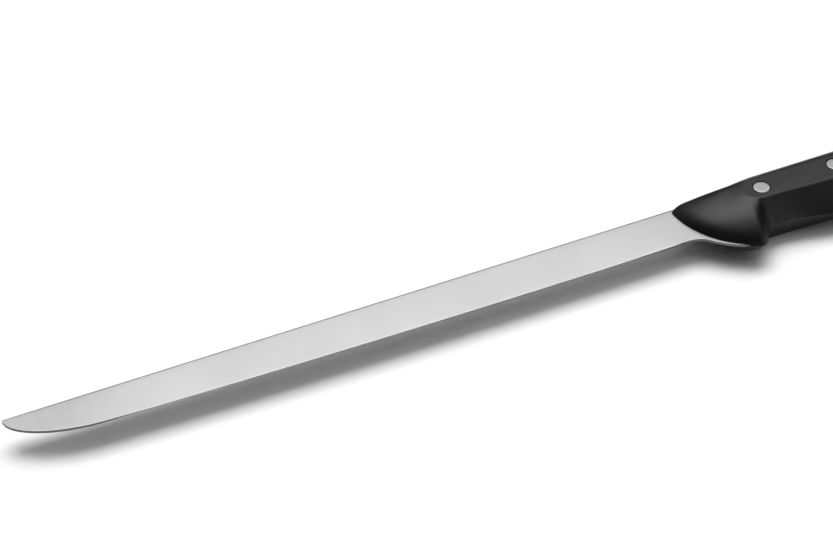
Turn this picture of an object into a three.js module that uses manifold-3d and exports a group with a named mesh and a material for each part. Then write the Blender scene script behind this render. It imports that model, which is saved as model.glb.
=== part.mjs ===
// Ham knife: a long narrow slicing blade whose tang runs back between two moulded handle scales,
// held by three two-part cutlery rivets. Millimetres. The knife lies on its side: +X runs from the tip
// to the butt, +Y from the cutting edge to the spine, +Z up.
//
// Outlines are drawn in knife coordinates: u runs back from the tip along the spine, v is the depth
// below the spine line, towards the cutting edge, and z is the height over the middle of the steel.
import * as THREE from "three";
import { mergeVertices } from "three/addons/utils/BufferGeometryUtils.js";
import Module from "manifold-3d";

// Blade
const BLADE_LENGTH = 275; // tip to handle, along the spine
const HEEL_DEPTH = 19.5; // spine to edge at the heel
const TIP_DEPTH = 15.7; // spine to edge where the tip's curve ends
const TIP_CURVE = 33; // length of the curved tip
const TIP_CORNER = 0.4; // clipped corner between tip and spine
const TIP_FULLNESS = 0.47; // how long the tip stays blunt; a quarter of an ellipse has ARC
const EDGE_SLOPE = 2.1; // fall of the edge behind the tip's curve, in degrees
const STEEL = 1.3; // thickness of the tang, and of the spine at the heel
const TIP_STEEL = 1.2; // thickness of the tip
const SHOULDER_STEEL = 0.45; // thickness behind the sharpened bevel
const EDGE_STEEL = 0.12; // thickness of the edge itself
const BEVEL = 0.9; // width of the sharpened bevel
const SPINE_CHAMFER = 0.15;
const HEEL_LEAD = 13; // the edge leaves its line this far in front of the handle
const BEVEL_FADE = 6; // length over which the sharpened bevel runs out, behind that point
const GRIND_FADE = 40; // length over which the ground faces run out, in front of the handle
const TIP_BLUNT = 18; // length of the tip that is neither ground nor sharpened
const TIP_FADE = 36; // length over which grinding and sharpening come in, behind it

// Heel, guard and tang
const HEEL_MARGIN = 1.6; // steel that shows in front of the scales at the heel
const HEEL_DROP = 2.8; // depth of the heel's hollow below the edge
const TANG_WIDTH = 14;
const TANG_COVER = 12; // plastic behind the end of the tang
const SPINE_BARE = 12; // length of bare spine between the scales
const TANG_SLOPE = 14; // length over which the tang drops from the spine to its own width
const TANG_NIB = 165; // the tang's round end is cut off at this angle, in degrees

// Handle
const HALF_GRIP = 11; // middle of the steel to a scale's flat
const GRIP_AXIS = 13.6; // depth of the rivet row and of the middle of the flats
const NOSE_LEAD = 2; // the front edge stands this far ahead of its corner at the spine
const NOSE_CORNER = 2.2; // size of that corner's rounding
const NOSE_CREST = 4.5; // depth where the front edge stands farthest forward
const NOSE_RIDGE = 4; // bearing of the nose's ridge on the front edge, in degrees
const NOSE_CHEEK = 24; // and of the cheek below it
const NOSE_FULLNESS = 0.22; // share of the grip's barrel shape at the nose's tip
const RIDGE_FULLNESS = 0.7; // and at the ridge
const CHEEK_FULLNESS = 0.5; // and at the cheek
const SPINE_SINK = 0.4; // spine side of the scales below the spine of the blade
const GUARD_SETBACK = 21; // front of the handle to the guard's tip
const GUARD_DEPTH = 33.8; // spine to the guard's tip
const GUARD_ROUND = 4.4; // length of the rounding under the guard
const GUARD_LIFT = 1.5; // rise of that rounding
const GUARD_SLOPE = 60; // slope of the guard's back, in degrees
const GUARD_FULLNESS = 0.85; // share of the grip's barrel shape at the guard's back
const GROOVE_DEPTH = 24.7; // spine to the finger groove behind the guard
const GROOVE_LEAD = 2.5; // groove ahead of the front rivet
const GROOVE_COVER = 1.5; // plastic below the steel at the groove
const SWELL_DEPTH = 29.8; // spine to the fullest part of the belly
const SWELL_OFFSET = 1; // swell behind the middle rivet
const WAIST_DEPTH = 28.2; // spine to the waist, below the rear rivet
const HOOK_DEPTH = 30.8; // spine to the hook at the butt
const HOOK_OFFSET = 15.5; // hook behind the rear rivet
const BUTT_REACH = 23.4; // butt behind the rear rivet
const BUTT_FALL = 3.4; // drop of the spine side at the butt
const BUTT_SLOPE = 10; // slope of the spine side there, in degrees
const FLAT_RADIUS = 6.4; // round ends of the flat
const FLAT_LEAD = 1.8; // the front one's centre ahead of the front rivet
const FLAT_SWELL = 7.6; // rivet row to the flat's lower edge, at the swell
const LIP = 4.6; // height and depth of the cheek's steep front edge
const TIP_LIP = 2.2; // the same at the nose's tip
const LIP_START = 2.5; // depth where that edge begins to grow
const LIP_FULL = 18.5; // and where it has grown
const RAMP_HOLLOW = 1.3; // power of the slope behind that edge; 1 is straight
const SIDE_SWEEP = 62; // the sides bend by this angle, from the seam to the flat, in degrees

// Places on the flat's round ends that corners of the handle run up to, in degrees
const FLAT_CORNER = -80; // rear of the corner at the spine
const FLAT_NOSE = -76; // front of that corner
const FLAT_RIDGE = -70; // ridge of the nose
const FLAT_CHEEK = -60; // cheek below it
const FLAT_GUARD = 8; // tip of the guard
const FLAT_HEEL = 38; // back of the guard
const FLAT_HOOK = 120; // hook
const FLAT_BUTT = 150; // butt

// Rivets, from the guard back
const RIVETS = ["front", "middle", "rear"];
const RIVET_SETBACK = 33; // front of the handle to the front rivet
const RIVET_PITCH = 34.4;
const HEAD_DIAMETER = 6.8;
const HEAD_THICKNESS = 2.2;
const HEAD_EDGE = 0.2; // broken edge of the head
const HEAD_SINK = 0.1; // head below the flat
const BARREL_DIAMETER = 5;
const PIN_DIAMETER = 3.4;
const PIN_GRIP = 12; // length of the pin inside the barrel

// Clearances
const SEAM = 0.1; // between the two scales
const POCKET_CLEARANCE = 0.15; // between steel and scale
const BORE_CLEARANCE = 0.2; // round the rivets, and under their heads
const PIN_CLEARANCE = 0.15; // pin in barrel
const END_CLEARANCE = 0.4; // beyond the ends of pin and barrel

// Fineness of the facets
const RINGS = 9; // rings between seam and flat
const LIP_RINGS = 4; // rings of those on the front lip
const SIDES = 24; // sides of a rivet
const ARC = 0.5523; // handle of a cubic curve that follows a quarter of an ellipse
const WELD = 1e-4; // points closer than this are one

const { lerp, smoothstep, degToRad } = THREE.MathUtils;
const point = (u, v) => new THREE.Vector2(u, v);
const heading = (degrees) => point(Math.cos(degToRad(degrees)), Math.sin(degToRad(degrees)));
const toPart = (p, z) => new THREE.Vector3(p.x, -p.y, z);

// Cubic curve from a to b, leaving along da and arriving along db.
function bend(a, da, b, db) {
  return new THREE.CubicBezierCurve(a, a.clone().add(da), b.clone().sub(db), b);
}

// Gentle curve: both handles are a third of the distance.
function flow(a, wayA, b, wayB) {
  const reach = a.distanceTo(b) / 3;
  return bend(a, wayA.clone().multiplyScalar(reach), b, wayB.clone().multiplyScalar(reach));
}

// Arc about a centre; the angle is 0 towards the tip and 90 towards the cutting edge, in degrees.
function arcAt(centre, radius, degrees) {
  return centre.clone().add(heading(degrees).multiply(point(-radius, radius)));
}

function arc(centre, radius, from, to) {
  const curve = new THREE.Curve();
  curve.getPoint = (t) => arcAt(centre, radius, lerp(from, to, t));
  return curve;
}

// Points along a chain of [curve, steps], each curve without its last point.
function along(chain) {
  return chain.flatMap(([curve, steps]) =>
    Array.from({ length: steps }, (_, i) => curve.getPoint(i / steps)),
  );
}

// Places that several pieces share
const handleFront = BLADE_LENGTH - NOSE_LEAD;
const rivetAt = RIVETS.map((_, i) => point(handleFront + RIVET_SETBACK + i * RIVET_PITCH, GRIP_AXIS));
const [frontRivet, middleRivet] = rivetAt;
const rearRivet = rivetAt.at(-1);
const butt = rearRivet.x + BUTT_REACH;
const tangRound = point(butt - TANG_COVER - TANG_WIDTH / 2, GRIP_AXIS);
const back = heading(0);
const forward = heading(180);
const towardsEdge = heading(90);
const towardsSpine = heading(-90);

// The front edge of the scales is an arc, upright at its crest, down to the guard's tip.
const guardFall = GUARD_DEPTH - NOSE_CREST;
const noseRadius = (GUARD_SETBACK ** 2 + guardFall ** 2) / (2 * GUARD_SETBACK);
const noseCentre = point(handleFront + noseRadius, NOSE_CREST);
const noseEnd = THREE.MathUtils.radToDeg(Math.asin(guardFall / noseRadius));
const noseTop = -THREE.MathUtils.radToDeg(Math.asin((NOSE_CREST - NOSE_CORNER) / noseRadius));
const guardTip = arcAt(noseCentre, noseRadius, noseEnd);
const guardBack = guardTip.clone().add(point(GUARD_ROUND, -GUARD_LIFT));
const guardRise = heading(-GUARD_SLOPE);

// Finger groove behind the guard.
const groove = point(frontRivet.x - GROOVE_LEAD, GROOVE_DEPTH);

// Rounding under the guard, which steel and scales share.
const guardRound = flow(guardTip, heading(90 - noseEnd), guardBack, guardRise);

const wasm = await Module();
wasm.setup();

function solid(geometry) {
  const bare = new THREE.BufferGeometry().setAttribute("position", geometry.getAttribute("position"));
  bare.setIndex(geometry.index);
  const welded = mergeVertices(bare, WELD);
  return new wasm.Manifold(
    new wasm.Mesh({
      numProp: 3,
      vertProperties: welded.getAttribute("position").array,
      triVerts: new Uint32Array(welded.index.array),
    }),
  );
}

function geometryOf(body) {
  const mesh = body.getMesh();
  const geometry = new THREE.BufferGeometry();
  geometry.setAttribute("position", new THREE.BufferAttribute(mesh.vertProperties, 3));
  geometry.setIndex(new THREE.BufferAttribute(mesh.triVerts, 1));
  geometry.computeVertexNormals();
  return geometry;
}

// Closed skin over a row of loops with equal counts of points, which may run either way round. flatten maps
// a loop to the plane of its cap, seen from the last loop.
function loft(row, flatten) {
  const clockwise = THREE.ShapeUtils.isClockWise(row[0].map(flatten));
  const loops = clockwise ? row.map((loop) => loop.toReversed()) : row;
  const count = loops[0].length;
  const index = [];
  for (let i = 0; i + 1 < loops.length; i += 1) {
    for (let k = 0; k < count; k += 1) {
      const a = i * count + k;
      const b = i * count + ((k + 1) % count);
      index.push(a, b, b + count, a, b + count, a + count);
    }
  }
  const last = (loops.length - 1) * count;
  const cap = (loop) => THREE.ShapeUtils.triangulateShape(loop.map(flatten), []);
  for (const [a, b, c] of cap(loops[0])) index.push(a, c, b);
  for (const [a, b, c] of cap(loops.at(-1))) index.push(a + last, b + last, c + last);
  const geometry = new THREE.BufferGeometry().setFromPoints(loops.flat());
  geometry.setIndex(index);
  return geometry;
}

// Upright cylinder through a rivet's place.
function drill(place, radius, low, high) {
  const cylinder = new THREE.CylinderGeometry(radius, radius, high - low, SIDES);
  cylinder.rotateX(Math.PI / 2);
  return solid(cylinder.translate(place.x, -place.y, (low + high) / 2));
}

// Lower outline of the steel, from the tip along the edge, the heel and the guard to the end of the tang.
function steelLower() {
  const tip = point(0, TIP_CORNER);
  const tipEnd = point(TIP_CURVE, TIP_DEPTH);
  const heel = point(BLADE_LENGTH - HEEL_LEAD, HEEL_DEPTH);
  const edgeWay = heading(EDGE_SLOPE);
  const tipCurve = bend(
    tip,
    point(0, TIP_FULLNESS * (TIP_DEPTH - TIP_CORNER)),
    tipEnd,
    edgeWay.clone().multiplyScalar(ARC * TIP_CURVE),
  );
  const edge = flow(tipEnd, edgeWay, heel, back);

  // The heel follows the scales' front edge at a margin that narrows to nothing at the guard.
  const hollowAngle = THREE.MathUtils.radToDeg(
    Math.asin((HEEL_DEPTH + HEEL_DROP - NOSE_CREST) / (noseRadius + HEEL_MARGIN)),
  );
  const sweep = new THREE.Curve();
  sweep.getPoint = (t) =>
    arcAt(noseCentre, noseRadius + HEEL_MARGIN * (1 - t), lerp(hollowAngle, noseEnd, t));
  const hollow = flow(heel, back, sweep.getPoint(0), sweep.getTangent(0));

  const strapLow = GRIP_AXIS + TANG_WIDTH / 2;
  const strapFront = point(frontRivet.x + TANG_WIDTH / 2, strapLow);
  const covered = point(groove.x, groove.y - GROOVE_COVER);
  return along([
    [tipCurve, 18],
    [edge, 16],
    [hollow, 8],
    [sweep, 8],
    [guardRound, 6],
    [flow(guardBack, guardRise, covered, back), 8],
    [flow(covered, back, strapFront, back), 4],
    [new THREE.LineCurve(strapFront, point(tangRound.x, strapLow)), 2],
    [arc(tangRound, TANG_WIDTH / 2, 90, TANG_NIB), 5],
  ]);
}

// Upper outline of the steel over a point of the lower one.
function steelUpper(lower) {
  const u = lower.x + TIP_CORNER * Math.max(0, 1 - lower.x / TIP_CURVE);
  const drop = smoothstep(u, BLADE_LENGTH + SPINE_BARE, BLADE_LENGTH + SPINE_BARE + TANG_SLOPE);
  const strapTop = GRIP_AXIS - TANG_WIDTH / 2;
  const belowAxis = Math.max(0, lower.y - GRIP_AXIS);
  return point(u, u > tangRound.x ? GRIP_AXIS - belowAxis : strapTop * drop);
}

// Blade and tang: sections from edge to spine, full thickness in the tang and ground thin in the blade.
function bladeGeometry() {
  const lower = steelLower();
  const bevelEnd = BLADE_LENGTH - HEEL_LEAD;
  const loops = lower.map((edge, i) => {
    const spine = steelUpper(edge);
    const before = lower[Math.max(0, i - 1)];
    const after = lower[Math.min(lower.length - 1, i + 1)];
    const way = after.clone().sub(before).normalize();
    const inward = i === 0 ? spine.clone().sub(edge).normalize() : point(way.y, -way.x);
    const plain = smoothstep(edge.x, handleFront - GRIND_FADE, handleFront);
    const blunt = smoothstep(edge.x, bevelEnd, bevelEnd + BEVEL_FADE);
    const spineSteel = lerp(TIP_STEEL, STEEL, Math.min(1, edge.x / handleFront));
    const tip = 1 - smoothstep(edge.x, TIP_BLUNT, TIP_BLUNT + TIP_FADE);
    const shoulderSteel = lerp(SHOULDER_STEEL, spineSteel, Math.max(plain, tip));
    const edgeSteel = lerp(EDGE_STEEL, shoulderSteel, Math.max(blunt, tip));
    const under = spine.clone().add(point(0, SPINE_CHAMFER));
    const bevel = Math.min(BEVEL, edge.distanceTo(under) / 2);
    const shoulder = edge.clone().add(inward.multiplyScalar(bevel));
    const half = [
      toPart(edge, edgeSteel / 2),
      toPart(shoulder, shoulderSteel / 2),
      toPart(under, spineSteel / 2),
      toPart(spine, spineSteel / 2 - SPINE_CHAMFER),
    ];
    const mirror = half.map((p) => p.clone().setZ(-p.z)).reverse();
    return [...half, ...mirror];
  });
  let body = solid(loft(loops, (p) => point(p.y, p.z)));
  for (const place of rivetAt) {
    body = body.subtract(drill(place, BARREL_DIAMETER / 2 + BORE_CLEARANCE, -STEEL, STEEL));
  }
  return geometryOf(body);
}

// Room for the steel between the scales: its outline with clearance, from in front of the handle.
function steelRoom() {
  const lower = steelLower().filter((p) => p.x > BLADE_LENGTH - HEEL_LEAD);
  const outline = [...lower, ...lower.map(steelUpper).reverse()];
  const grown = outline.map((p, i) => {
    const before = outline.at(i - 1);
    const after = outline[(i + 1) % outline.length];
    const way = after.clone().sub(before).normalize();
    return p.clone().add(point(-way.y, way.x).multiplyScalar(POCKET_CLEARANCE));
  });
  const depth = STEEL + 2 * POCKET_CLEARANCE;
  const shape = new THREE.Shape(grown.map((p) => point(p.x, -p.y)));
  const block = new THREE.ExtrudeGeometry(shape, { depth, bevelEnabled: false });
  return solid(block.translate(0, 0, -depth / 2));
}

// The scale is lofted from its outline at the seam to the outline of its flat. Each row pairs a stretch
// of the one with a stretch of the other: [seam curve, flat curve, steps, roundness at start and end].
// Roundness 0 is the nose, a steep lip and a hollow ramp; 1 is the grip, a side bent like a barrel.
function scaleStretches() {
  const swell = point(middleRivet.x + SWELL_OFFSET, SWELL_DEPTH);
  const waist = point(rearRivet.x, WAIST_DEPTH);
  const hook = point(rearRivet.x + HOOK_OFFSET, HOOK_DEPTH);
  const end = point(butt, GRIP_AXIS + FLAT_RADIUS);
  const hump = point(rearRivet.x + HOOK_OFFSET, BUTT_FALL);
  const buttRise = heading(180 + BUTT_SLOPE);
  const spineRear = point(middleRivet.x, SPINE_SINK);
  const spineFront = point(frontRivet.x, SPINE_SINK);
  const cornerRear = point(BLADE_LENGTH + NOSE_CORNER, SPINE_SINK);
  const cornerFront = arcAt(noseCentre, noseRadius, noseTop);
  const corner = flow(cornerRear, forward, cornerFront, towardsEdge);
  const nose = (from, to) => arc(noseCentre, noseRadius, from, to);

  const frontRound = frontRivet.clone().sub(point(FLAT_LEAD, 0));
  const flatGroove = arcAt(frontRound, FLAT_RADIUS, 90);
  const flatSwell = point(swell.x, GRIP_AXIS + FLAT_SWELL);
  const flatWaist = arcAt(rearRivet, FLAT_RADIUS, 90);
  const flatFront = (from, to) => arc(frontRound, FLAT_RADIUS, from, to);
  const flatRear = (from, to) => arc(rearRivet, FLAT_RADIUS, from, to);
  const line = (a, b) => new THREE.LineCurve(a, b);
  const flatSpine = (from, to) => line(spineSide(from), spineSide(to));
  const spineSide = (t) => arcAt(frontRound.clone().lerp(rearRivet, t), FLAT_RADIUS, -90);
  const level = (a, b) => flow(a, back, b, back);

  return [
    [nose(noseTop, NOSE_RIDGE), flatFront(FLAT_NOSE, FLAT_RIDGE), 5, NOSE_FULLNESS, RIDGE_FULLNESS],
    [nose(NOSE_RIDGE, NOSE_CHEEK), flatFront(FLAT_RIDGE, FLAT_CHEEK), 8, RIDGE_FULLNESS, CHEEK_FULLNESS],
    [nose(NOSE_CHEEK, noseEnd), flatFront(FLAT_CHEEK, FLAT_GUARD), 14, CHEEK_FULLNESS, 1],
    [guardRound, flatFront(FLAT_GUARD, FLAT_HEEL), 6, 1, GUARD_FULLNESS],
    [flow(guardBack, guardRise, groove, back), flatFront(FLAT_HEEL, 90), 12, GUARD_FULLNESS, 1],
    [level(groove, swell), level(flatGroove, flatSwell), 10, 1, 1],
    [level(swell, waist), level(flatSwell, flatWaist), 8, 1, 1],
    [level(waist, hook), flatRear(90, FLAT_HOOK), 7, 1, 1],
    [flow(hook, back, end, towardsSpine), flatRear(FLAT_HOOK, FLAT_BUTT), 8, 1, 1],
    [flow(end, towardsSpine, hump, buttRise), flatRear(FLAT_BUTT, 270), 12, 1, 1],
    [flow(hump, buttRise, spineRear, forward), flatSpine(1, 0.5), 10, 1, 1],
    [line(spineRear, spineFront), flatSpine(0.5, 0), 6, 1, 1],
    [line(spineFront, cornerRear), flatFront(-90, FLAT_CORNER), 12, 1, NOSE_FULLNESS],
    [corner, flatFront(FLAT_CORNER, FLAT_NOSE), 4, NOSE_FULLNESS, NOSE_FULLNESS],
  ];
}

// Share of the way to the flat, and of its height, at a step from the seam (0) to the flat (1).
function nosePart(step, reach, lip) {
  const lipShare = LIP_RINGS / RINGS;
  const turn = Math.min(1, step / lipShare);
  const ramp = Math.max(0, (step - lipShare) / (1 - lipShare));
  const lipReach = lip / reach;
  const lipRise = lip / HALF_GRIP;
  const out = lipReach * (1 - Math.cos((turn * Math.PI) / 2)) + (1 - lipReach) * ramp;
  const up = lipRise * Math.sin((turn * Math.PI) / 2) + (1 - lipRise) * out ** RAMP_HOLLOW;
  return [out, up];
}

function gripPart(step) {
  const sweep = degToRad(SIDE_SWEEP);
  return [(1 - Math.cos(sweep * step)) / (1 - Math.cos(sweep)), Math.sin(sweep * step) / Math.sin(sweep)];
}

// Upper scale: pocketed for the steel, bored for the shanks and counterbored for the heads.
function scaleGeometry() {
  const stations = scaleStretches().flatMap(([seam, flat, steps, from, to]) =>
    Array.from({ length: steps }, (_, i) => ({
      low: seam.getPoint(i / steps),
      high: flat.getPoint(i / steps),
      roundness: lerp(from, to, i / steps),
    })),
  );
  const rings = Array.from({ length: RINGS + 1 }, (_, k) =>
    stations.map(({ low, high, roundness }) => {
      const step = k / RINGS;
      const lip = lerp(TIP_LIP, LIP, smoothstep(low.y, LIP_START, LIP_FULL));
      const nose = nosePart(step, low.distanceTo(high), lip);
      const grip = gripPart(step);
      const out = lerp(nose[0], grip[0], roundness);
      const up = lerp(nose[1], grip[1], roundness);
      return toPart(low.clone().lerp(high, out), lerp(SEAM / 2, HALF_GRIP, up));
    }),
  );
  let body = solid(loft(rings, (p) => point(p.x, p.y)));
  body = body.subtract(steelRoom());
  const seat = HALF_GRIP - HEAD_SINK - HEAD_THICKNESS - BORE_CLEARANCE;
  for (const place of rivetAt) {
    body = body.subtract(drill(place, BARREL_DIAMETER / 2 + BORE_CLEARANCE, -HALF_GRIP, 2 * HALF_GRIP));
    body = body.subtract(drill(place, HEAD_DIAMETER / 2 + BORE_CLEARANCE, seat, 2 * HALF_GRIP));
  }
  return geometryOf(body);
}

// Heights of the rivet halves along their axis, from the middle of the steel.
const headTop = HALF_GRIP - HEAD_SINK;
const headSeat = headTop - HEAD_THICKNESS;

function headProfile() {
  const radius = HEAD_DIAMETER / 2;
  return [
    point(radius, headSeat),
    point(radius, headTop - HEAD_EDGE),
    point(radius - HEAD_EDGE, headTop),
    point(0, headTop),
  ];
}

// Female half: a head on a shank with a blind bore.
function barrelGeometry() {
  const outer = BARREL_DIAMETER / 2;
  const inner = PIN_DIAMETER / 2 + PIN_CLEARANCE;
  const mouth = -headSeat + END_CLEARANCE;
  const bottom = mouth + PIN_GRIP + END_CLEARANCE;
  return new THREE.LatheGeometry(
    [
      point(0, bottom),
      point(inner, bottom),
      point(inner, mouth),
      point(outer, mouth),
      point(outer, headSeat),
      ...headProfile(),
    ],
    SIDES,
  );
}

// Male half: a head on a solid pin, drawn head up.
function pinGeometry() {
  const radius = PIN_DIAMETER / 2;
  const foot = headSeat - END_CLEARANCE - PIN_GRIP;
  return new THREE.LatheGeometry(
    [point(0, foot), point(radius, foot), point(radius, headSeat), ...headProfile()],
    SIDES,
  );
}

const steelFinish = new THREE.MeshStandardMaterial({ color: 0xd2d2d2, roughness: 0.34, metalness: 1 });
const scaleFinish = new THREE.MeshStandardMaterial({ color: 0x1c1c1c, roughness: 0.48, metalness: 0 });
const rivetFinish = new THREE.MeshStandardMaterial({ color: 0xbdbdbd, roughness: 0.4, metalness: 1 });

function piece(name, geometry, material) {
  const mesh = new THREE.Mesh(geometry, material);
  mesh.name = name;
  return mesh;
}

const knife = new THREE.Group();
knife.add(piece("blade", bladeGeometry(), steelFinish));

const upperScale = piece("upper_scale", scaleGeometry(), scaleFinish);
const lowerScale = piece("lower_scale", upperScale.geometry, scaleFinish);
lowerScale.scale.z = -1;
knife.add(upperScale, lowerScale);

rivetAt.forEach((place, i) => {
  const barrel = piece(`${RIVETS[i]}_rivet_barrel`, barrelGeometry(), rivetFinish);
  const pin = piece(`${RIVETS[i]}_rivet_pin`, pinGeometry(), rivetFinish);
  barrel.position.copy(toPart(place, 0));
  pin.position.copy(toPart(place, 0));
  barrel.rotation.x = Math.PI / 2;
  pin.rotation.x = -Math.PI / 2;
  knife.add(barrel, pin);
});

// The origin lies under the middle of the knife, on the surface that the lower flat rests on.
const box = new THREE.Box3().setFromObject(knife);
const centre = box.getCenter(new THREE.Vector3());
knife.position.set(-centre.x, -centre.y, -box.min.z);

const part = new THREE.Group();
part.add(knife);

export default part;
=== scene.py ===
"""Ham knife lying on its side on a white table, lit by soft lamps in a dark room."""

import bmesh
import bpy
import numpy as np
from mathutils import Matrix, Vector


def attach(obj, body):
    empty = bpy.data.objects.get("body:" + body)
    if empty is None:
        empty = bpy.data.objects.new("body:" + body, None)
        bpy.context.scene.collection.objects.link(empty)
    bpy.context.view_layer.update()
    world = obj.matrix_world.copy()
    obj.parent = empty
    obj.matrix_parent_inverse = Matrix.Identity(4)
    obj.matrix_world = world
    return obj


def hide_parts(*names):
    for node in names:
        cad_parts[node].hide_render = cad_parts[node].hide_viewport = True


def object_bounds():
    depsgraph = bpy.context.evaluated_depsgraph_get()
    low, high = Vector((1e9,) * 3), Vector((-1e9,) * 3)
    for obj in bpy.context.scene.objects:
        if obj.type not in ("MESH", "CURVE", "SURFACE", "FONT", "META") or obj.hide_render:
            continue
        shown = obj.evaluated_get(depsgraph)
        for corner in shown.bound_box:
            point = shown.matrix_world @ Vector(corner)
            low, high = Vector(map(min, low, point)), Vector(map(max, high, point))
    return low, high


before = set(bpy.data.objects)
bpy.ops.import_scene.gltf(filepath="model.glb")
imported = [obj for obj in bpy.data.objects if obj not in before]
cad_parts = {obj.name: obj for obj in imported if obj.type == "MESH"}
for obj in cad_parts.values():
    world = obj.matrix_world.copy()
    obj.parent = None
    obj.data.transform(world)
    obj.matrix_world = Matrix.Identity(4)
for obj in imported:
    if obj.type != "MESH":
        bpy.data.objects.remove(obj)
cad_low, cad_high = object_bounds()


# Blade: one strip of stainless sheet, stamped with its heel, guard and tang, ground thin towards the
# edge and satin finished across its length. The rounded tip keeps the full thickness of the sheet.
MM = 0.001
BACK = np.array([1.0, 0.0])
# Handle of a cubic curve that draws a quarter of a circle, as a share of its radius.
QUARTER = 0.5523

blade_length = 275.0
heel_depth = 19.5
tip_depth = 15.7
tip_curve = 33.0
tip_corner = 0.4
tip_fullness = 0.47
edge_slope = 2.1
heel_lead = 13.0
heel_margin = 1.6
heel_drop = 2.8
nose_lead = 2.0
nose_crest = 1.8
guard_setback = 21.0
guard_depth = 33.8
guard_round = 4.4
guard_lift = 1.5
guard_slope = 52.0
guard_cover = 0.7
guard_inset = np.array([0.6, 1.0])
grip_axis = 13.6
groove_depth = 24.7
groove_offset = 2.5
groove_cover = 1.5
rivet_setback = 33.0
rivet_pitch = 34.4
butt_reach = 23.4
tang_width = 14.0
tang_cover = 12.0
tang_nib = 165.0
spine_bare = 12.0
tang_slope = 8.0

steel = 1.3
tip_steel = 1.2
shoulder_steel = 0.4
bevel_drop = 0.035
bevel_width = 0.9
spine_chamfer = 0.15
edge_rounding = 0.05
tip_blunt = 18.0
tip_fade = 36.0
bevel_fade = 6.0
grind_fade = 40.0

# Rings across the steel: shares of the corner's rounding, of the bevel, of the ground face and of the way
# round the spine, the last with the fall of the face there.
corner_limit = 0.7
corner_middle = 0.3
bevel_ring = 0.85
face_rings = (0, 0.012, 0.2, 0.4, 0.6, 0.8, 0.96)
spine_rings = ((0, 0.012), (0.75, 0.05), (1, spine_chamfer))
merge_distance = 1e-7
smooth_angle = 40.0


def place(u, v, z):
    """Knife millimetres to metres: u back from the tip, v below the spine, z over the middle of the steel."""
    u, v, z = np.broadcast_arrays(np.asarray(u, float), v, z)
    middle = (cad_low.z + cad_high.z) / 2
    return np.stack([cad_low.x + u * MM, cad_high.y - v * MM, middle + z * MM], axis=-1)


def inside(points):
    """Points held inside the knife's own box."""
    return np.clip(points, cad_low, cad_high)


def heading(degrees):
    """Unit vector (u, v): 0 degrees runs back along the knife, 90 towards the cutting edge."""
    angle = np.radians(degrees)
    return np.stack([np.cos(angle), np.sin(angle)], axis=-1)


def ease(x, low=0.0, high=1.0):
    """Smooth step 3t^2 - 2t^3 between low and high."""
    t = np.clip((x - low) / (high - low), 0, 1)
    return t * t * (3 - 2 * t)


def mix(a, b, share):
    """Straight line from a to b."""
    return a + (b - a) * share


def bend(a, da, b, db, count):
    """Cubic curve from a to b that leaves along da and arrives along db, without its last point."""
    t = np.linspace(0, 1, count, endpoint=False)[:, None]
    s = 1 - t
    return s**3 * a + 3 * s**2 * t * (a + da) + 3 * s * t**2 * (b - db) + t**3 * b


def flow(a, way_a, b, way_b, count):
    """Gentle cubic curve whose handles are a third of the distance."""
    reach = np.linalg.norm(b - a) / 3
    return bend(a, reach * way_a, b, reach * way_b, count)


def arc_at(centre, radius, degrees):
    """Points on an arc: 0 degrees lies towards the tip of the knife, 90 towards the cutting edge."""
    return centre + np.multiply.outer(radius, [-1.0, 1.0]) * heading(degrees)


def arc(centre, radius, start, end, count):
    """Arc about a centre, without its last point."""
    return arc_at(centre, radius, np.linspace(start, end, count, endpoint=False))


def surface(name, loops):
    """Closed mesh over a stack of rings: vertex (i, k) is point k of ring i, with quads between neighbours and
    one face over each end."""
    rings, count = loops.shape[:2]
    grid = np.arange(rings * count).reshape(rings, count)
    ahead = np.roll(grid, -1, axis=1)
    quads = np.stack([grid[:-1], ahead[:-1], ahead[1:], grid[1:]], axis=-1).reshape(-1, 4)
    ends = [grid[0].tolist(), grid[-1][::-1].tolist()]
    mesh = bpy.data.meshes.new(name)
    mesh.from_pydata(loops.reshape(-1, 3), [], quads.tolist() + ends)
    return tidy(mesh)


def tidy(mesh):
    """Merges doubles, turns the faces outwards and shades smoothly up to a set angle."""
    skin = bmesh.new()
    skin.from_mesh(mesh)
    bmesh.ops.remove_doubles(skin, verts=skin.verts, dist=merge_distance)
    bmesh.ops.recalc_face_normals(skin, faces=skin.faces)
    skin.to_mesh(mesh)
    skin.free()
    mesh.polygons.foreach_set("use_smooth", np.ones(len(mesh.polygons), bool))
    mesh.set_sharp_from_angle(angle=np.radians(smooth_angle))
    return mesh


def turned(profile, centre, facing, sides=96):
    """Rings of a turned shape: radius and height along the profile, carried round the rivet's axis."""
    radius, height = np.asarray(profile, float).T
    angle = np.linspace(0, 2 * np.pi, sides, endpoint=False)
    u = centre[0] + radius[:, None] * np.cos(angle)
    v = centre[1] + radius[:, None] * np.sin(angle)
    return place(u, v, facing * height[:, None])


def drilled(mesh, cutters):
    """The mesh with the cutters taken out of it."""
    body = bpy.data.objects.new("drilled", mesh)
    bpy.context.scene.collection.objects.link(body)
    drills = [bpy.data.objects.new("drill", cutter) for cutter in cutters]
    for drill in drills:
        bpy.context.scene.collection.objects.link(drill)
        cut = body.modifiers.new("cut", "BOOLEAN")
        cut.operation = "DIFFERENCE"
        cut.solver = "EXACT"
        cut.object = drill
    bpy.context.view_layer.update()
    evaluated = body.evaluated_get(bpy.context.evaluated_depsgraph_get())
    result = bpy.data.meshes.new_from_object(evaluated)
    for spare in [body, *drills]:
        bpy.data.objects.remove(spare)
    return tidy(result)


def piece(name, mesh, material, slot, *nodes):
    """A finished piece of the knife that stands for its CAD nodes."""
    mesh.materials.clear()
    mesh.materials.append(material)
    thing = bpy.data.objects.new(name, mesh)
    bpy.context.scene.collection.objects.link(thing)
    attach(thing, "root")
    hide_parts(*nodes)


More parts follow.
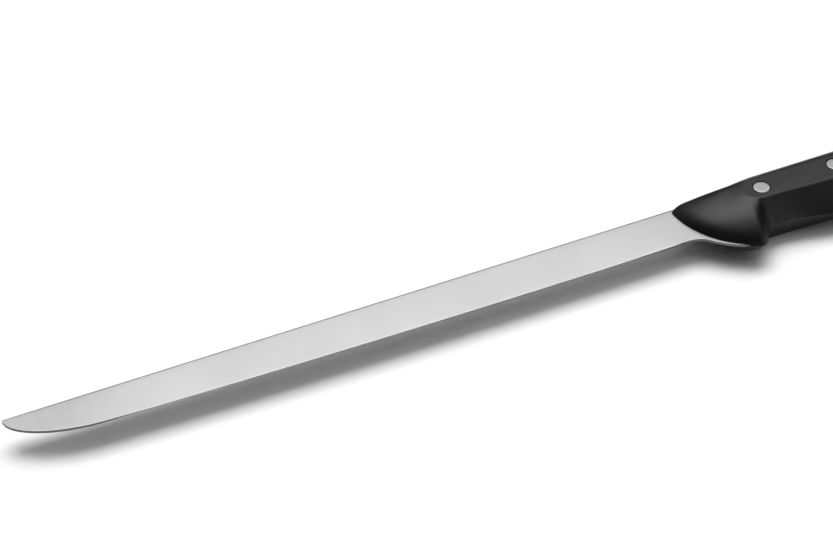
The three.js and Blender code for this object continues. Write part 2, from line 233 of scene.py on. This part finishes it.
class Shade:
    """A shader socket in a sum: the operators add Math nodes, and add() makes any other node."""

    def __init__(self, tree, socket=None):
        self.tree = tree
        self.socket = socket

    def add(self, kind, inputs, out=0, **settings):
        """Makes a node, then its settings, then the values or links of its inputs, and wraps one output."""
        node = self.tree.nodes.new("ShaderNode" + kind)
        for name, value in settings.items():
            setattr(node, name, value)
        for key, value in inputs.items():
            if isinstance(value, Shade):
                self.tree.links.new(value.socket, node.inputs[key])
            else:
                node.inputs[key].default_value = value
        return Shade(self.tree, node.outputs[out])

    def __add__(self, other):
        return self.add("Math", {0: self, 1: other}, operation="ADD")

    def __sub__(self, other):
        return self.add("Math", {0: self, 1: other}, operation="SUBTRACT")

    def __mul__(self, other):
        return self.add("Math", {0: self, 1: other}, operation="MULTIPLY")

    def __rsub__(self, other):
        return self.add("Math", {0: other, 1: self}, operation="SUBTRACT")

    __radd__ = __add__
    __rmul__ = __mul__


def finish(name, constants):
    """New material with these constant sockets: the material, a maker of nodes and a way to link a socket."""
    material = bpy.data.materials.new(name)
    material.use_nodes = True
    tree = material.node_tree
    shader = tree.nodes["Principled BSDF"]
    for socket, value in constants.items():
        shader.inputs[socket].default_value = value
    nodes = Shade(tree)

    def link(socket, value):
        """Feeds a value that changes over the surface into the shader."""
        tree.links.new(value.socket, shader.inputs[socket])

    return material, nodes, link


handle_front = blade_length - nose_lead
rivet_places = [np.array([handle_front + rivet_setback + i * rivet_pitch, grip_axis]) for i in range(3)]
front_rivet, middle_rivet, rear_rivet = rivet_places
butt = rear_rivet[0] + butt_reach

# Front edge of the handle: an arc, upright at its crest, down to the guard's tip.
guard_fall = guard_depth - nose_crest
nose_radius = (guard_setback**2 + guard_fall**2) / (2 * guard_setback)
nose_centre = np.array([handle_front + nose_radius, nose_crest])
nose_end = np.degrees(np.arcsin(guard_fall / nose_radius))
guard_tip = arc_at(nose_centre, nose_radius, nose_end)
guard_back = guard_tip + [guard_round, -guard_lift]
guard_rise = heading(-guard_slope)
groove = np.array([front_rivet[0] + groove_offset, groove_depth])


def steel_outline():
    """Lower outline of the steel from the tip along edge, heel, guard and tang, as arcs and cubic curves end to
    end, and the upper one over it: straight along the spine, then eased down to the tang."""
    tip = np.array([0.0, tip_corner])
    tip_end = np.array([tip_curve, tip_depth])
    heel = np.array([blade_length - heel_lead, heel_depth])
    edge_way = heading(edge_slope)
    fall = np.array([0.0, tip_fullness * (tip_depth - tip_corner)])
    hollow = np.degrees(np.arcsin((heel_depth + heel_drop - nose_crest) / (nose_radius + heel_margin)))
    t = np.linspace(0, 1, 70, endpoint=False)
    sweep = arc_at(nose_centre, nose_radius + mix(heel_margin, -guard_cover, t), mix(hollow, nose_end, t))
    sweep_way = (sweep[1] - sweep[0]) / np.linalg.norm(sweep[1] - sweep[0])
    strap_low = grip_axis + tang_width / 2
    strap = np.array([front_rivet[0] + tang_width / 2, strap_low])
    covered = groove - [0, groove_cover]
    covered_tip = arc_at(nose_centre, nose_radius - guard_cover, nose_end)
    covered_back = guard_back - guard_inset
    tang_round = np.array([butt - tang_cover - tang_width / 2, grip_axis])
    strap_end = np.array([tang_round[0], strap_low])
    lower = np.concatenate([
        bend(tip, fall, tip_end, QUARTER * tip_curve * edge_way, 180),
        flow(tip_end, edge_way, heel, BACK, 160),
        flow(heel, BACK, sweep[0], sweep_way, 70),
        sweep,
        flow(covered_tip, heading(90 - nose_end), covered_back, guard_rise, 40),
        flow(covered_back, guard_rise, covered, BACK, 40),
        flow(covered, BACK, strap, BACK, 20),
        flow(strap, BACK, strap_end, BACK, 12),
        arc(tang_round, tang_width / 2, 90, tang_nib, 24),
    ])
    u = lower[:, 0] + tip_corner * np.maximum(0, 1 - lower[:, 0] / tip_curve)
    bare_end = blade_length + spine_bare
    strap_top = grip_axis - tang_width / 2
    drop = strap_top * ease(u, bare_end, bare_end + tang_slope)
    round_top = grip_axis - np.maximum(0, lower[:, 1] - grip_axis)
    upper = np.stack([u, np.where(u > tang_round[0], round_top, drop)], axis=-1)
    return lower, upper


def blade_rings():
    """Sections across the steel: wall, rounded corner, bevel, ground face and spine, mirrored to the other side.
    The half thickness runs straight from the shoulder to the spine; the tip and the heel keep it whole."""
    lower, upper = steel_outline()
    way = np.gradient(lower, axis=0)
    way /= np.linalg.norm(way, axis=1, keepdims=True)
    inward = np.stack([way[:, 1], -way[:, 0]], axis=-1)
    inward[0] = (upper[0] - lower[0]) / np.linalg.norm(upper[0] - lower[0])
    u = lower[:, 0]
    plain = ease(u, handle_front - grind_fade, handle_front)
    blunt = ease(u, blade_length - heel_lead, blade_length - heel_lead + bevel_fade)
    tip = 1 - ease(u, tip_blunt, tip_blunt + tip_fade)
    spine_half = mix(tip_steel, steel, np.clip(u / handle_front, 0, 1)) / 2
    shoulder_half = mix(shoulder_steel / 2, spine_half, np.maximum(plain, tip))
    edge_half = shoulder_half - bevel_drop * (1 - np.maximum(blunt, tip))
    under = upper + [0, spine_chamfer]
    bevel = np.minimum(bevel_width, np.linalg.norm(under - lower, axis=1) / 2)
    rounding = np.minimum(edge_rounding, corner_limit * edge_half)
    shoulder = lower + inward * bevel[:, None]

    cut = corner_middle * rounding
    corner = [(lower, edge_half - rounding), (lower + inward * cut[:, None], edge_half - cut)]
    bevel_rings = (rounding / bevel, 2 * rounding / bevel, np.full_like(bevel, bevel_ring))
    slope = [
        (mix(lower, shoulder, share[:, None]), mix(edge_half, shoulder_half, share))
        for share in bevel_rings
    ]
    face = [(mix(shoulder, under, share), mix(shoulder_half, spine_half, share)) for share in face_rings]
    spine = [(mix(under, upper, share), spine_half - fall) for share, fall in spine_rings]
    half = corner + slope + face + spine
    top = np.stack([place(p[:, 0], p[:, 1], z) for p, z in half], axis=1)
    bottom = np.stack([place(p[:, 0], p[:, 1], -z) for p, z in reversed(half)], axis=1)
    return inside(np.concatenate([top, bottom], axis=1))


steel_dark = (0.385, 0.385, 0.387, 1)
steel_light = (0.475, 0.475, 0.473, 1)
# Dark grey painted on the steel's upright walls: painted shade for the shadowed table and dark room they reflect.
painted_wall_shade = (0.12, 0.12, 0.12, 1)
coarse_reach = 45.0
fine_scratches = (5200, 90, 90)
coarse_scratches = (1500, 60, 60)
coarse_turn = 0.04
steel_clouds = 55.0


def satin_steel():
    """Steel with fine scratches straight across the blade, coarser and plainer to see near the tip. Colour and
    gloss follow the sum of scratches and faint clouds. Where the face stands upright, on the stamped walls, the
    colour is mixed to a dark grey: painted shade for the shadowed table and dark room those walls reflect."""
    material, nodes, link = finish("satin_steel", {"Metallic": 1.0})
    place_on = nodes.add("TexCoord", {}, out="Object")
    lengthwise = nodes.add("SeparateXYZ", {"Vector": place_on}, out="X")
    coarse_end = cad_low.x + coarse_reach * MM
    tip = nodes.add(
        "MapRange",
        {"Value": lengthwise, "From Min": cad_low.x, "From Max": coarse_end, "To Min": 1.0, "To Max": 0.0},
        interpolation_type="SMOOTHSTEP",
    )
    fine_map = nodes.add("Mapping", {"Vector": place_on, "Scale": fine_scratches})
    fine = nodes.add("TexNoise", {"Vector": fine_map, "Scale": 1.0, "Detail": 3.0, "Roughness": 0.6})
    coarse_map = nodes.add(
        "Mapping", {"Vector": place_on, "Scale": coarse_scratches, "Rotation": (0, 0, coarse_turn)}
    )
    coarse = nodes.add("TexNoise", {"Vector": coarse_map, "Scale": 1.0, "Detail": 2.0, "Roughness": 0.5})
    cloud = nodes.add("TexNoise", {"Vector": place_on, "Scale": steel_clouds, "Detail": 3.0, "Roughness": 0.55})
    scratch = (fine - 0.5) * 0.5 + (coarse - 0.5) * (0.25 + 0.9 * tip)
    shade = 0.5 + 0.9 * scratch + 0.5 * (cloud - 0.5)
    polish = nodes.add(
        "Mix", {"Factor": shade, "A": steel_dark, "B": steel_light}, out="Result", data_type="RGBA"
    )
    # Painted shade: where the normal lies near level, on the upright walls, the colour turns to the dark grey.
    facing = nodes.add("SeparateXYZ", {"Vector": nodes.add("TexCoord", {}, out="Normal")}, out="Z")
    wall = nodes.add(
        "MapRange",
        {"Value": facing * facing, "From Min": 0.1, "From Max": 0.6, "To Min": 1.0, "To Max": 0.0},
    )
    colour = nodes.add(
        "Mix", {"Factor": wall, "A": polish, "B": painted_wall_shade}, out="Result", data_type="RGBA"
    )
    link("Base Color", colour)
    link("Roughness", 0.3 + 0.1 * scratch + 0.06 * (cloud - 0.5))
    bump = nodes.add("Bump", {"Height": scratch, "Strength": 0.12, "Distance": 0.02 * MM})
    link("Normal", bump)
    return material


bore_radius = 2.7
tang_drill = [(bore_radius, -2 * steel), (bore_radius, 2 * steel)]
tang_holes = [surface("tang_hole", turned(tang_drill, centre, 1)) for centre in rivet_places]
blade_mesh = drilled(surface("ground_blade", blade_rings()), tang_holes)
piece("ground_blade", blade_mesh, satin_steel(), "blade_steel", "blade")


# Scales: two handle halves moulded in black plastic, mirror images, that close over the tang and meet
# in a fine seam. Each has a flat grip face, a sloping nose over the heel and a cheek on the finger guard.
half_grip = 11.0
seam_half = 0.015
pocket_half = 0.8
pocket_floor = 0.82
rim_width = 0.9
seam_rounding = 0.03
spine_sink = 0.4
nose_corner = 2.2
swell_depth = 29.8
swell_offset = 1.0
waist_depth = 28.2
hook_depth = 30.8
hook_offset = 15.5
butt_fall = 3.4
butt_slope = 10.0
flat_radius = 6.4
flat_lead = 1.8
flat_swell = 7.6
lip_share = 4 / 9
nose_crown = 1.05
nose_ridge = 8.0
nose_cheek = 26.0

# Form of the side at the ends of the front's nine stretches, from the spine over the front rivet by nose,
# cheek, guard and groove to the belly: bearing of the flat's point in degrees, share of the full side over the
# lipped nose, height of the lip, sweep of the full side's ellipse in degrees, its share of straight slope, and
# bareness of the steel.
front_bearings = (-90, -88, -80, -66.5, -53, -15, 18, 54, 78, 90)
front_fullness = (1, 0.2, 0.6, 1.08, 1.1, 0.95, 1.0, 1.0, 1, 1)
front_lips = (2.4, 1.2, 2.5, 3.1, 5.4, 6.9, 6.1, 6.1, 6.1, 6.1)
front_sweeps = (66, 66, 66, 66, 75, 98, 96, 86, 66, 66)
front_slants = (0, 0, 0, 0, 0, 0.28, 0.32, 0.6, 1, 1)
front_bare = (-4.7, 3.5, 2, 2, 3.4, 1.8, -0.3, -0.3, -0.3, -0.3)
bearing_blend = 30
form_blend = 28
slant_fade = 20.0
belly_points = 60
belly_turn = 10

# Rounded edge of the flat: its width at the front and at the rear, and the largest share of the side that it
# takes. Then the rings up the side, how fast the lift at the seam dies away, and the step that gives the pace
# at which the side reaches the flat.
crisp = 0.35
soft = 1.7
crease_limit = 0.3
edge_rings = 8
lip_rings = 20
ramp_rings = 24
bare_fall = 12
seam_fall = 30
nudge = 0.001
FORWARD = -BACK
TO_EDGE = np.array([0.0, 1.0])
TO_SPINE = -TO_EDGE


def along(count):
    """Even steps from 0 towards 1 as a column."""
    return np.linspace(0, 1, count, endpoint=False)[:, None]


def grip_outline():
    """Outline of the handle in stretches from the spine over the front rivet by nose, guard, belly and butt.
    The front's stretches are the seam's points, and the flat's points lie on its round end at the bearings given
    for them. A row of the rear has the seam's points, the flat's points and the widths of the flat's rounded
    edge. The form's values run straight from knot to knot and are then smoothed."""
    nose_top = -np.degrees(np.arcsin((nose_crest - nose_corner) / nose_radius))
    swell = np.array([middle_rivet[0] + swell_offset, swell_depth])
    waist = np.array([rear_rivet[0], waist_depth])
    hook = np.array([rear_rivet[0] + hook_offset, hook_depth])
    end = np.array([butt, grip_axis + flat_radius])
    hump = np.array([rear_rivet[0] + hook_offset, butt_fall])
    hump_way = heading(180 + butt_slope)
    spine_rear = np.array([middle_rivet[0], spine_sink])
    spine_front = np.array([front_rivet[0], spine_sink])
    corner_rear = np.array([blade_length + nose_corner, spine_sink])
    corner_front = arc_at(nose_centre, nose_radius, nose_top)
    guard_way = heading(90 - nose_end)
    flat_front = front_rivet - [flat_lead, 0]
    belly = flow(groove, BACK, swell, BACK, belly_points)
    mid_cheek = (nose_cheek + nose_end) / 2
    front = [
        mix(spine_front, corner_rear, along(60)),
        flow(corner_rear, FORWARD, corner_front, TO_EDGE, 30),
        arc(nose_centre, nose_radius, nose_top, nose_ridge, 16),
        arc(nose_centre, nose_radius, nose_ridge, nose_cheek, 34),
        arc(nose_centre, nose_radius, nose_cheek, mid_cheek, 35),
        arc(nose_centre, nose_radius, mid_cheek, nose_end, 35),
        flow(guard_tip, guard_way, guard_back, guard_rise, 36),
        flow(guard_back, guard_rise, groove, BACK, 50),
        belly[:belly_turn],
    ]

    def ramps(knots):
        """Values along the front that run straight from each knot to the next."""
        pairs = zip(knots, knots[1:], front)
        return np.concatenate([np.linspace(a, b, len(row), endpoint=False) for a, b, row in pairs])

    def smooth(values, reach):
        """Mean of the neighbours within reach, weighted by a raised cosine."""
        window = np.hanning(2 * reach + 3)[1:-1]
        return np.convolve(np.pad(values, reach, mode="edge"), window / window.sum(), mode="valid")

    bearing = smooth(ramps(front_bearings), bearing_blend)
    flat_belly = arc_at(flat_front, flat_radius, 90)
    flat_swell_at = np.array([swell[0], grip_axis + flat_swell])
    flat_waist = arc_at(rear_rivet, flat_radius, 90)
    flat_high = [arc_at(centre, flat_radius, -90) for centre in (flat_front, rear_rivet)]
    flat_turn = mix(*flat_high, 0.5)
    rear = [
        (
            belly[belly_turn:],
            flow(flat_belly, BACK, flat_swell_at, BACK, belly_points - belly_turn),
            (crisp, soft),
        ),
        (flow(swell, BACK, waist, BACK, 40), flow(flat_swell_at, BACK, flat_waist, BACK, 40), (soft, soft)),
        (flow(waist, BACK, hook, BACK, 32), arc(rear_rivet, flat_radius, 90, 120, 32), (soft, soft)),
        (flow(hook, BACK, end, TO_SPINE, 40), arc(rear_rivet, flat_radius, 120, 150, 40), (soft, soft)),
        (flow(end, TO_SPINE, hump, hump_way, 56), arc(rear_rivet, flat_radius, 150, 270, 56), (soft, soft)),
        (flow(hump, hump_way, spine_rear, FORWARD, 48), mix(flat_high[1], flat_turn, along(48)), (soft, soft)),
        (mix(spine_rear, spine_front, along(32)), mix(flat_turn, flat_high[0], along(32)), (soft, crisp)),
    ]
    low = np.concatenate([*front, *[row[0] for row in rear]])
    high = np.concatenate([arc_at(flat_front, flat_radius, bearing), *[row[1] for row in rear]])
    rest = len(low) - len(bearing)

    def form(knots):
        """Smoothed values round the whole outline: the front's, then the last knot's."""
        return smooth(np.pad(ramps(knots), (0, rest), constant_values=knots[-1]), form_blend)

    full, lip, sweep, slant = (form(k) for k in (front_fullness, front_lips, front_sweeps, front_slants))
    bare = ease(np.pad(ramps(front_bare), (0, rest), constant_values=0))
    slant = slant * (low[:, 1] > grip_axis) * ease(low[:, 0], hook[0], hook[0] - slant_fade)
    widths = [np.linspace(*row[2], len(row[0]), endpoint=False) for row in rear]
    crease = smooth(np.concatenate([np.full(len(bearing), crisp), *widths]), form_blend)
    return low, high, full, bare, lip, slant, np.radians(sweep), crease


def scale_rings(facing):
    """Rings of a scale from its pocket over the rim, the side and the rounded edge to the flat. The rounded edge
    is a quadratic curve that leaves the side short of the flat, bends at their corner and ends on the flat."""
    low, high, full, bare, lip, slant, sweep, crease = grip_outline()
    reach = np.linalg.norm(high - low, axis=1)
    inward = (high - low) / reach[:, None]
    seam_z = mix(seam_half, pocket_half, bare)

    def side(step):
        """Points of the side at a share of the way from the seam to the flat. The lipped nose is a quarter
        ellipse up the lip and then a ramp to the flat. The full side is part of an ellipse, upright at the seam,
        mixed with a straight slope. Close to the seam the side lifts to leave the steel bare, or to round the
        seam."""
        turn = np.minimum(1, step / lip_share) * np.pi / 2
        ramp = np.maximum(0, (step - lip_share) / (1 - lip_share))
        lip_reach = lip / reach
        lip_rise = lip / half_grip
        nose_out = lip_reach * (1 - np.cos(turn)) + (1 - lip_reach) * ramp
        nose_up = lip_rise * np.sin(turn) + (1 - lip_rise) * nose_out**nose_crown
        grip_out = (1 - np.cos(sweep * step)) / (1 - np.cos(sweep))
        grip_up = np.sin(sweep * step) / np.sin(sweep)
        out = mix(nose_out, mix(grip_out, step, slant), full)
        up = mix(nose_up, mix(grip_up, step, slant), full)
        z = mix(seam_half, half_grip, up)
        z = z + (seam_z - seam_half) * (1 - up) ** bare_fall + seam_rounding * (1 - up) ** seam_fall
        spot = low + (high - low) * out[..., None]
        return np.concatenate([spot, z[..., None]], axis=-1)

    near = side(np.full_like(reach, 1 - nudge))
    top = side(np.ones_like(reach))
    pace = np.linalg.norm(top - near, axis=1) / nudge
    stop = 1 - np.clip(crease / pace, 0, crease_limit)
    lip_steps = np.linspace(0, lip_share, lip_rings, endpoint=False)
    share = np.concatenate([lip_steps, np.linspace(lip_share, 1, ramp_rings)])
    wall = side(share[:, None] * stop)
    inner = top.copy()
    inner[:, :2] += inward * crease[:, None]
    t = np.linspace(0, 1, edge_rings + 1)[1:, None, None]
    edge = (1 - t) ** 2 * wall[-1] + 2 * t * (1 - t) * top + t**2 * inner

    def rim(inset, z):
        """One ring set in from the seam's outline, at a height."""
        spot = low + inward * inset
        return np.concatenate([spot, np.broadcast_to(z, reach.shape)[:, None]], axis=-1)[None]

    rings = np.concatenate([
        rim(rim_width, pocket_floor), rim(rim_width, seam_z), rim(seam_rounding, seam_z), wall, edge,
    ])
    return inside(place(rings[..., 0], rings[..., 1], facing * rings[..., 2]))


plastic_dark = (0.0016, 0.0016, 0.0016, 1)
plastic_light = (0.0026, 0.0026, 0.0027, 1)
mould_grain = 5200.0
plastic_clouds = 90.0


def moulded_plastic():
    """Black plastic with the fine matte grain of the mould and faint clouds in its colour and gloss."""
    material, nodes, link = finish("moulded_plastic", {"Specular IOR Level": 0.36})
    place_on = nodes.add("TexCoord", {}, out="Object")
    grain = nodes.add("TexNoise", {"Vector": place_on, "Scale": mould_grain, "Detail": 2.0, "Roughness": 0.6})
    cloud = nodes.add("TexNoise", {"Vector": place_on, "Scale": plastic_clouds, "Detail": 3.0, "Roughness": 0.55})
    colour = nodes.add(
        "Mix", {"Factor": cloud, "A": plastic_dark, "B": plastic_light}, out="Result", data_type="RGBA"
    )
    link("Base Color", colour)
    link("Roughness", 0.39 + 0.08 * (cloud - 0.5) + 0.06 * (grain - 0.5))
    bump = nodes.add("Bump", {"Height": grain, "Strength": 0.08, "Distance": 0.02 * MM})
    link("Normal", bump)
    return material


head_radius = 3.4
head_thickness = 2.2
head_sink = 0.1
bore_clearance = 0.2
hole_radius = head_radius + bore_clearance
hole_chamfer = 0.1
drill_over = 1.0
seat = half_grip - head_sink - head_thickness - bore_clearance
bore_profile = [
    (bore_radius, -drill_over),
    (bore_radius, seat),
    (hole_radius, seat),
    (hole_radius, half_grip - hole_chamfer),
    (hole_radius + hole_chamfer, half_grip),
    (hole_radius + hole_chamfer, half_grip + drill_over),
]
plastic = moulded_plastic()
for side_name, facing in (("upper", 1), ("lower", -1)):
    bores = [surface("bore", turned(bore_profile, centre, facing)) for centre in rivet_places]
    scale_mesh = drilled(surface(f"{side_name}_scale_moulding", scale_rings(facing)), bores)
    piece(f"{side_name}_scale_moulding", scale_mesh, plastic, "scale_plastic", f"{side_name}_scale")


# Rivets: two-part cutlery rivets of light metal, a hollow barrel from above and a pin pressed into it from
# below. Their heads are sanded flush with the flats and keep a slightly rounded rim.
barrel_radius = 2.5
pin_radius = 1.7
pin_clearance = 0.15
pin_grip = 12.0
end_clearance = 0.4
head_top = half_grip - head_sink
head_seat = head_top - head_thickness
rim_angle = np.radians(np.linspace(0, 90, 7))
rim_round = 0.3
head_rings = (0.6, 0.2)
core_radius = 0.3
head = [
    (head_radius, head_seat),
    *np.stack([
        head_radius - rim_round + rim_round * np.cos(rim_angle),
        head_top - rim_round + rim_round * np.sin(rim_angle),
    ], axis=-1),
    *[(head_radius * share, head_top) for share in head_rings],
]
barrel_mouth = end_clearance - head_seat
barrel_floor = barrel_mouth + pin_grip + end_clearance
barrel_profile = [
    (core_radius, barrel_floor),
    (pin_radius + pin_clearance, barrel_floor),
    (pin_radius + pin_clearance, barrel_mouth),
    (barrel_radius, barrel_mouth),
    (barrel_radius, head_seat),
    *head,
]
pin_foot = head_seat - end_clearance - pin_grip
pin_profile = [(core_radius, pin_foot), (pin_radius, pin_foot), (pin_radius, head_seat), *head]

metal_dark = (0.27, 0.27, 0.27, 1)
metal_light = (0.37, 0.37, 0.37, 1)
sanding = (300, 6500, 300)
metal_mottle = 1400.0


def sanded_metal():
    """Light metal sanded flush: fine scratches along the handle and a faint mottle, in colour and in gloss."""
    material, nodes, link = finish("sanded_metal", {"Metallic": 1.0})
    place_on = nodes.add("TexCoord", {}, out="Object")
    scratch_map = nodes.add("Mapping", {"Vector": place_on, "Scale": sanding})
    scratch = nodes.add("TexNoise", {"Vector": scratch_map, "Scale": 1.0, "Detail": 3.0, "Roughness": 0.6})
    mottle = nodes.add("TexNoise", {"Vector": place_on, "Scale": metal_mottle, "Detail": 2.0, "Roughness": 0.5})
    shade = 0.5 + 0.6 * (scratch - 0.5) + 0.8 * (mottle - 0.5)
    colour = nodes.add(
        "Mix", {"Factor": shade, "A": metal_dark, "B": metal_light}, out="Result", data_type="RGBA"
    )
    link("Base Color", colour)
    link("Roughness", 0.36 + 0.15 * (scratch - 0.5) + 0.1 * (mottle - 0.5))
    bump = nodes.add("Bump", {"Height": scratch, "Strength": 0.15, "Distance": 0.02 * MM})
    link("Normal", bump)
    return material


metal = sanded_metal()
for rivet_name, centre in zip(("front", "middle", "rear"), rivet_places):
    for half_name, profile, facing in (("barrel", barrel_profile, 1), ("pin", pin_profile, -1)):
        half_mesh = surface(f"{rivet_name}_{half_name}", turned(profile, centre, facing))
        piece(f"{rivet_name}_{half_name}", half_mesh, metal, "rivet_metal", f"{rivet_name}_rivet_{half_name}")


# Table: a matte white sheet that the knife lies on. It runs out of the picture on all sides and keeps the
# knife's shadow.
table_reach = 4.0
table_drop = 0.0001
table_white = (0.97, 0.97, 0.97, 1)
table_mesh = bpy.data.meshes.new("table")
corners = np.array([(-1, -1, 0), (1, -1, 0), (1, 1, 0), (-1, 1, 0)]) * table_reach - [0, 0, table_drop]
table_mesh.from_pydata(corners, [], [(0, 1, 2, 3)])
table = bpy.data.objects.new("table", table_mesh)
bpy.context.scene.collection.objects.link(table)
sheet_finish = {"Base Color": table_white, "Roughness": 0.9, "Specular IOR Level": 0.0}
white_sheet, _, _ = finish("white_sheet", sheet_finish)
table_mesh.materials.append(white_sheet)


# Light: one wide softbox hung level overhead, set back behind the spine, with dimmer level panels behind it
# and in front of it. Two dim panels stand low, by the butt's near side and beyond the tip, in a dark room.
room_grey = 0.015


def softbox(name, width, depth, place_at, facing_to, radiance):
    """Rectangular lamp of a given radiance that faces a point, with its width along the knife."""
    lamp = bpy.data.lights.new(name, "AREA")
    lamp.shape = "RECTANGLE"
    lamp.size = width
    lamp.size_y = depth
    lamp.energy = radiance * np.pi * width * depth
    hung = bpy.data.objects.new(name, lamp)
    hung.location = place_at
    hung.rotation_euler = (Vector(facing_to) - Vector(place_at)).to_track_quat("-Z", "Y").to_euler()
    bpy.context.scene.collection.objects.link(hung)


softbox("top_softbox", 2.7, 1.7, (0.2, 0.74, 2.4), (0.2, 0.74, 0.0), 4.9)
softbox("rear_panel", 4.0, 1.8, (1.9, 2.6, 2.4), (1.9, 2.6, 0.0), 1.25)
softbox("fore_panel", 3.0, 1.3, (0.3, -0.75, 2.4), (0.3, -0.75, 0.0), 0.9)
softbox("front_panel", 2.6, 2.4, (1.7, -1.9, 1.3), (0.1, 0.0, 0.0), 0.42)
softbox("tip_panel", 2.6, 1.8, (-2.2, 2.0, 1.5), (-0.1, 0.0, 0.0), 0.42)
room = bpy.data.worlds.new("room")
room.use_nodes = True
room.node_tree.nodes["Background"].inputs["Color"].default_value = (room_grey, room_grey, room_grey, 1)
bpy.context.scene.world = room
bpy.context.scene.view_settings.view_transform = "Standard"


# Camera: the photograph's standpoint, over the cutting edge and a little towards the tip, with a long lens
# and the whole knife sharp.
focal_length = 90.77
sensor_width = 36.0
standpoint = Vector((-0.2987, -0.52538, 0.52688))
target = Vector((-0.03341, 0.0243, 0.011))
lens = bpy.data.cameras.new("camera")
lens.lens = focal_length
lens.sensor_width = sensor_width
camera = bpy.data.objects.new("camera", lens)
bpy.context.scene.collection.objects.link(camera)
camera.location = standpoint
camera.rotation_euler = (target - standpoint).to_track_quat("-Z", "Y").to_euler()
bpy.context.scene.camera = camera
